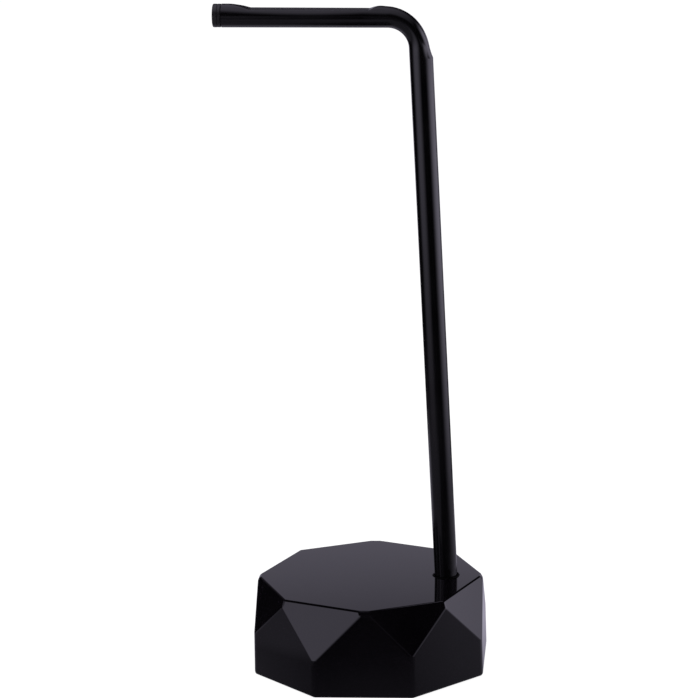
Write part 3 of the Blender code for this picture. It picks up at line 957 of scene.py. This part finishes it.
def floorMaterial():
    material, tree = bareMaterial("pale_floor")
    plain = addNode(tree, "ShaderNodeBsdfDiffuse", Color=stage["floorPlain"])
    soft = addNode(tree, "ShaderNodeBsdfDiffuse", Color=stage["floorColour"])
    glow = addNode(tree, "ShaderNodeEmission", Strength=stage["floorGlow"])
    both = addNode(tree, "ShaderNodeAddShader")
    tree.links.new(soft.outputs[0], both.inputs[0])
    tree.links.new(glow.outputs[0], both.inputs[1])
    show(tree, mixed(tree, shownToLens(tree), plain, both))
    return material


# painted reflections: soft boxes by azimuth and elevation over a dark room, glowing on the tent
def paintedReflectionMaterial():
    material, tree = bareMaterial("painted_soft_box_reflections")
    unit = addNode(tree, "ShaderNodeVectorMath", operation="NORMALIZE")
    tree.links.new(objectPlace(tree), unit.inputs[0])
    axes = addNode(tree, "ShaderNodeSeparateXYZ")
    tree.links.new(unit.outputs["Vector"], axes.inputs[0])
    azimuth = calc(tree, "ARCTAN2", axes.outputs["Y"], axes.outputs["X"])
    elevation = calc(tree, "ARCSINE", axes.outputs["Z"])
    total = paintedRoomReflection
    for middle, halfWide, edgeWide, (noneLow, fullLow, fullHigh, noneHigh), strength in paintedSoftBoxes.values():
        aside = addNode(tree, "ShaderNodeMath", operation="WRAP")
        tree.links.new(calc(tree, "SUBTRACT", azimuth, math.radians(middle)), aside.inputs[0])
        aside.inputs[1].default_value = math.pi
        aside.inputs[2].default_value = -math.pi
        away = calc(tree, "ABSOLUTE", aside.outputs["Value"])
        inside = strength
        for value, none, full in (
            (away, halfWide + edgeWide, halfWide - edgeWide),
            (elevation, noneLow, fullLow),
            (elevation, noneHigh, fullHigh),
        ):
            fade = smoothStep(tree, value, math.radians(none), math.radians(full))
            inside = calc(tree, "MULTIPLY", fade, inside)
        total = calc(tree, "MAXIMUM", inside, total)
    show(tree, paintedReflectionGlow(tree, total))
    return material


# painted shade of the floor as the gloss sees it: dark before the base, lighter behind it and at the left
def paintedTableShadeMaterial():
    material, tree = bareMaterial("painted_table_shade")
    axes = placeAxes(tree)
    left = paintedTableShade["left"]
    front, back = paintedTableShade["tones"][0][0], paintedTableShade["tones"][-1][0]
    along = calc(tree, "ADD", axes["Y"], calc(tree, "MULTIPLY", axes["X"], paintedTableShade["lean"]))
    stops = [((place - front) / (back - front), (level,) * 3) for place, level in paintedTableShade["tones"]]
    tone = ramp(tree, spread(tree, along, 0.0, 1.0, front, back), stops)
    aside = calc(tree, "ADD", axes["X"], calc(tree, "MULTIPLY", axes["Y"], left["lean"]))
    # painted light on the left of the table
    paintedLightAtLeft = calc(tree, "MULTIPLY", smoothStep(tree, aside, left["from"], left["to"]), left["tone"])
    show(tree, paintedReflectionGlow(tree, calc(tree, "MAXIMUM", tone, paintedLightAtLeft)))
    return material


def paintedArmHighlightMaterial():
    # painted highlight: bright over the arm, clear round the rest of the tube
    material, tree = bareMaterial("painted_arm_highlight")
    axes = placeAxes(tree)
    towardFront = calc(tree, "MULTIPLY", axes["Y"], -1.0)
    turn = calc(tree, "ARCTAN2", calc(tree, "SUBTRACT", axes["Z"], paintedArmHighlight["height"]), towardFront)
    away = calc(tree, "SUBTRACT", axes["X"], paintedArmHighlight["bowMiddle"])
    bowed = calc(tree, "MULTIPLY", calc(tree, "MULTIPLY", away, away), math.radians(paintedArmHighlight["bow"]))
    bowed = calc(tree, "MINIMUM", bowed, math.radians(paintedArmHighlight["bowMost"]))
    frontNone, frontFull = [math.radians(angle) for angle in paintedArmHighlight["frontEdge"]]
    backFull, backNone = [math.radians(angle) for angle in paintedArmHighlight["backEdge"]]
    inside = smoothStep(tree, calc(tree, "SUBTRACT", turn, bowed), frontNone, frontFull)
    inside = calc(tree, "MULTIPLY", inside, smoothStep(tree, turn, backNone, backFull))
    fade = spread(tree, axes["X"], 0.0, 1.0, paintedArmHighlight["ends"][1], paintedArmHighlight["fadeFrom"])
    inside = calc(tree, "MULTIPLY", inside, fade)
    show(tree, fadedGlow(tree, inside, paintedArmHighlight["strength"]))
    return material


def paintedBendHighlightMaterial():
    # painted highlight on the bend: bright in the middle, clear at the card's edges
    material, tree = bareMaterial("painted_bend_highlight")
    coordinate = addNode(tree, "ShaderNodeTexCoord")
    axes = addNode(tree, "ShaderNodeSeparateXYZ")
    tree.links.new(coordinate.outputs["UV"], axes.inputs[0])
    inside = 1.0
    for axis in ("X", "Y"):
        away = calc(tree, "ABSOLUTE", calc(tree, "SUBTRACT", axes.outputs[axis], 0.5))
        inside = calc(tree, "MULTIPLY", smoothStep(tree, away, 0.5, 0.5 - paintedBendHighlight["fade"]), inside)
    show(tree, fadedGlow(tree, inside, paintedBendHighlight["strength"]))
    return material


def glossOnly(obj, material):
    # stands out of the picture: only the gloss sees it, as a painted reflection
    obj.data.materials.append(material)
    obj.visible_camera = False
    obj.visible_diffuse = False
    obj.visible_transmission = False
    obj.visible_volume_scatter = False
    obj.visible_shadow = False


def makeFloor():
    deselectAll()
    bpy.ops.mesh.primitive_plane_add(size=stage["floorSize"], location=(0.0, 0.0, -stage["floorDrop"]))
    floor = justAdded("floor")
    floor.data.materials.append(floorMaterial())
    # the gloss sees the painted table shade instead of this floor
    floor.visible_glossy = False


def makeTent():
    deselectAll()
    bpy.ops.mesh.primitive_uv_sphere_add(
        segments=stage["tentSegments"],
        ring_count=stage["tentRings"],
        radius=stage["tentRadius"],
        location=(0.0, 0.0, 0.0),
    )
    glossOnly(justAdded("paintedReflectionTent"), paintedReflectionMaterial())


def makePaintedShadeTable():
    deselectAll()
    bpy.ops.mesh.primitive_circle_add(
        vertices=stage["tableSides"],
        radius=stage["tableRadius"],
        fill_type="NGON",
        location=(0.0, 0.0, stage["tableLift"]),
    )
    glossOnly(justAdded("paintedShadeTable"), paintedTableShadeMaterial())


def makeArmHighlight():
    # glows as a painted highlight on the arm, so close to it that the base sees little of it
    left, right = paintedArmHighlight["ends"]
    deselectAll()
    bpy.ops.mesh.primitive_cylinder_add(
        vertices=paintedArmHighlight["sides"],
        radius=paintedArmHighlight["radius"],
        depth=right - left,
        end_fill_type="NOTHING",
        location=((left + right) / 2, 0.0, paintedArmHighlight["height"]),
        rotation=(0.0, math.pi / 2, 0.0),
    )
    sheet = justAdded("paintedArmHighlightSheet")
    applyPlace(sheet)
    glossOnly(sheet, paintedArmHighlightMaterial())


def makeBendHighlight():
    # stands beside the bend, for a painted highlight on its outer side
    place = Vector(paintedBendHighlight["place"])
    turn = (Vector(paintedBendHighlight["facing"]) - place).to_track_quat("Z", "Y").to_euler()
    deselectAll()
    bpy.ops.mesh.primitive_plane_add(size=1.0, location=place, rotation=turn)
    card = justAdded("paintedBendHighlight")
    card.scale = (*paintedBendHighlight["size"], 1.0)
    glossOnly(card, paintedBendHighlightMaterial())


lamps = {
    # place, size, watts
    "overhead": ((-0.15, -0.25, 1.3), 1.2, 7.0),
    "left": ((-1.1, -0.8, 0.7), 0.9, 4.0),
    "rightBack": ((1.1, 0.8, 0.6), 0.9, 4.0),
}
lampAim = (0.0, 0.0, 0.1)
worldLight = 0.35


def makeLamps():
    for name, (place, size, watts) in lamps.items():
        deselectAll()
        bpy.ops.object.light_add(type="AREA", location=place)
        lamp = bpy.context.object
        lamp.name = name + "Lamp"
        lamp.data.size = size
        lamp.data.energy = watts
        lamp.rotation_euler = (Vector(lampAim) - Vector(place)).to_track_quat("-Z", "Y").to_euler()
        # the lamps light the object but stay out of its gloss, which shows the painted soft boxes instead
        lamp.visible_glossy = False


def makeWorld():
    world = bpy.data.worlds.new("studio")
    bpy.context.scene.world = world
    world.use_nodes = True
    tree = world.node_tree
    ambient = tree.nodes["Background"]
    ambient.inputs["Color"].default_value = (1.0, 1.0, 1.0, 1.0)
    ambient.inputs["Strength"].default_value = worldLight
    white = addNode(tree, "ShaderNodeBackground", Color=(1.0, 1.0, 1.0, 1.0), Strength=1.0)
    show(tree, mixed(tree, shownToLens(tree), ambient, white), "World Output")


makeFloor()
makeTent()
makePaintedShadeTable()
makeArmHighlight()
makeBendHighlight()
makeLamps()
makeWorld()
print("stage and light ready")


# camera, at the photograph's view

lens = {
    "place": (103.0 * mm, -1250.0 * mm, 463.5 * mm),
    "yaw": -0.0878,
    "pitch": 0.2508,
    "roll": 0.0235,
    "focalPixels": 3000.0,
    "imagePixels": 698,
    "sensor": 36.0,
    "farthest": 50.0,
}


def makeCamera():
    deselectAll()
    bpy.ops.object.camera_add(location=lens["place"])
    camera = bpy.context.object
    camera.name = "photoCamera"
    yaw = Matrix.Rotation(-lens["yaw"], 3, "Z")
    pitch = Matrix.Rotation(math.pi / 2 - lens["pitch"], 3, "X")
    roll = Matrix.Rotation(-lens["roll"], 3, "Z")
    camera.rotation_euler = (yaw @ pitch @ roll).to_euler()
    camera.data.sensor_width = lens["sensor"]
    camera.data.lens = lens["focalPixels"] / lens["imagePixels"] * lens["sensor"]
    camera.data.clip_end = lens["farthest"]
    bpy.context.scene.camera = camera


makeCamera()
bpy.context.scene.view_settings.view_transform = "Standard"
deselectAll()
print("camera ready")
